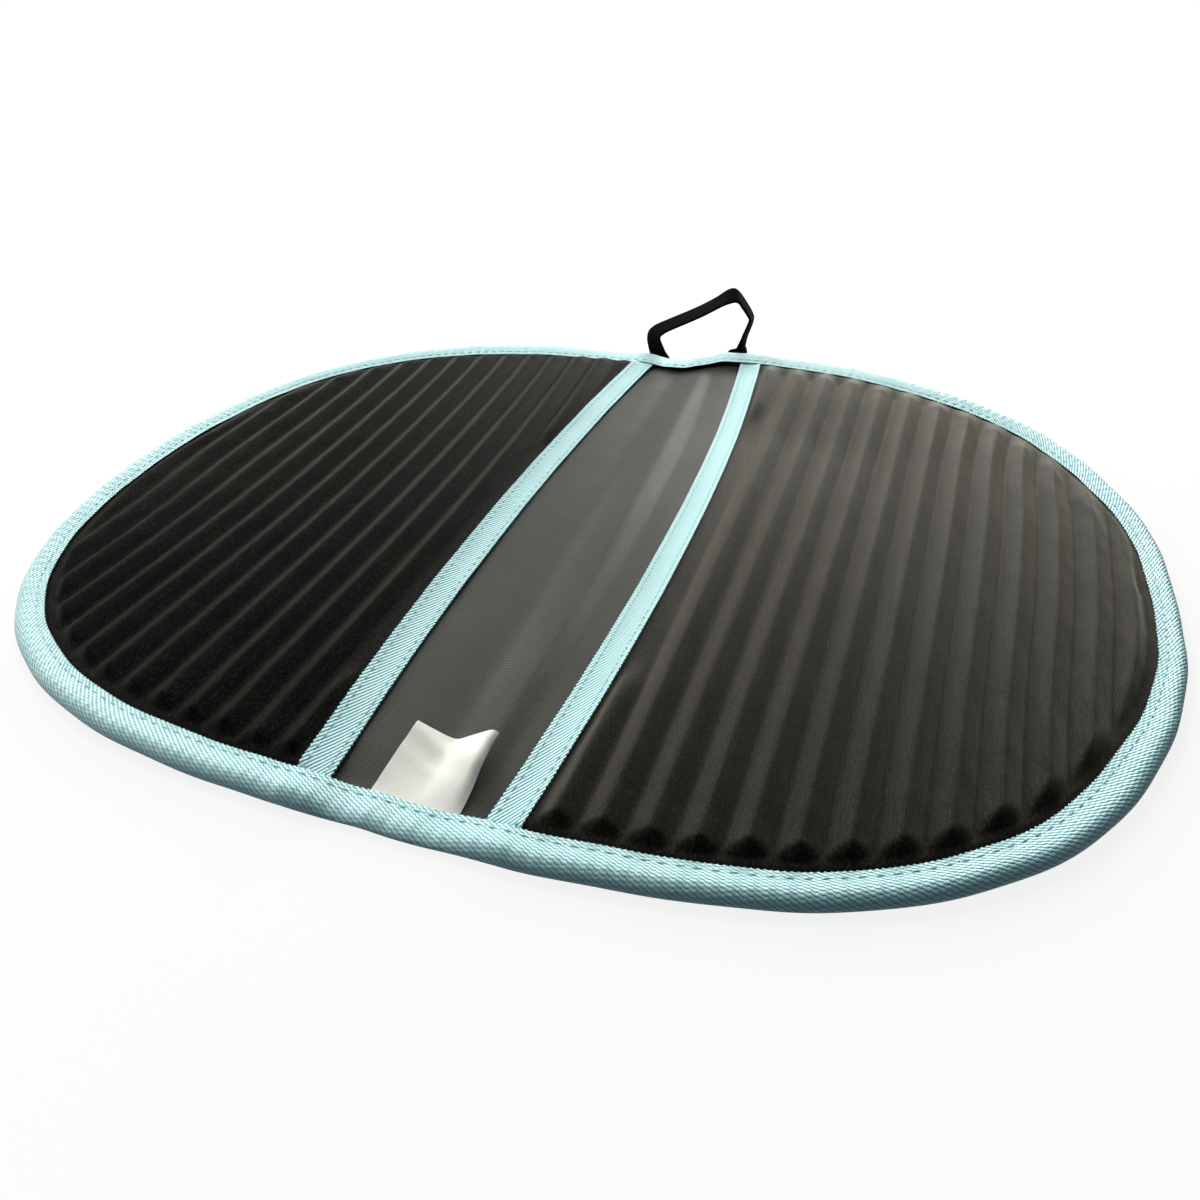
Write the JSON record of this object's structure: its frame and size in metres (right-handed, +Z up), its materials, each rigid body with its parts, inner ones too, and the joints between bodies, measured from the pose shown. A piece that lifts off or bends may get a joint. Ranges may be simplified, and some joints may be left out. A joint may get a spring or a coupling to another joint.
{
  "type": "folding seat mat",
  "caption": "Thin folding seat mat: ribbed foam pads on a cloth that folds along the middle, bound with twill tape, with a webbing loop at the back edge.",
  "frame": {"origin": "middle of the underside, on the fold line, where the open mat lies on the ground", "axes": "+X across the fold towards the right half, +Y towards the back edge with the loop, +Z up off the ground"},
  "size_m": [0.4, 0.3531, 0.0361],
  "materials": {
    "oxford_cloth": "plain-woven dark grey cloth with a slight sheen",
    "foam": "closed-cell foam, hidden",
    "moulded_knit": "fine black knit, moulded onto the foam",
    "twill_tape": "pale aqua twill tape",
    "sewing_thread": "pale aqua sewing thread",
    "webbing": "narrow black woven webbing",
    "label_satin": "white label satin, bare"
  },
  "bodies": {
    "right_half": {"right_base_cloth": "oxford_cloth", "right_foam_core": "foam", "right_face_fabric": "moulded_knit", "right_seam_tape": "twill_tape", "right_tape_outer_thread": "sewing_thread", "right_tape_inner_thread": "sewing_thread", "right_binding": "twill_tape", "right_binding_thread": "sewing_thread", "fold_cloth": "oxford_cloth", "grab_loop": "webbing", "care_label": "label_satin"},
    "left_half": {"left_base_cloth": "oxford_cloth", "left_foam_core": "foam", "left_face_fabric": "moulded_knit", "left_seam_tape": "twill_tape", "left_tape_outer_thread": "sewing_thread", "left_tape_inner_thread": "sewing_thread", "left_binding": "twill_tape", "left_binding_thread": "sewing_thread"}
  },
  "joints": [
    {"name": "fold", "type": "hinge", "parent": "right_half", "child": "left_half", "pos_m": [0, 0, 0.0081], "axis": [0, 1, 0], "range_deg": [0, 179], "deforming": ["fold_cloth"]}
  ]
}
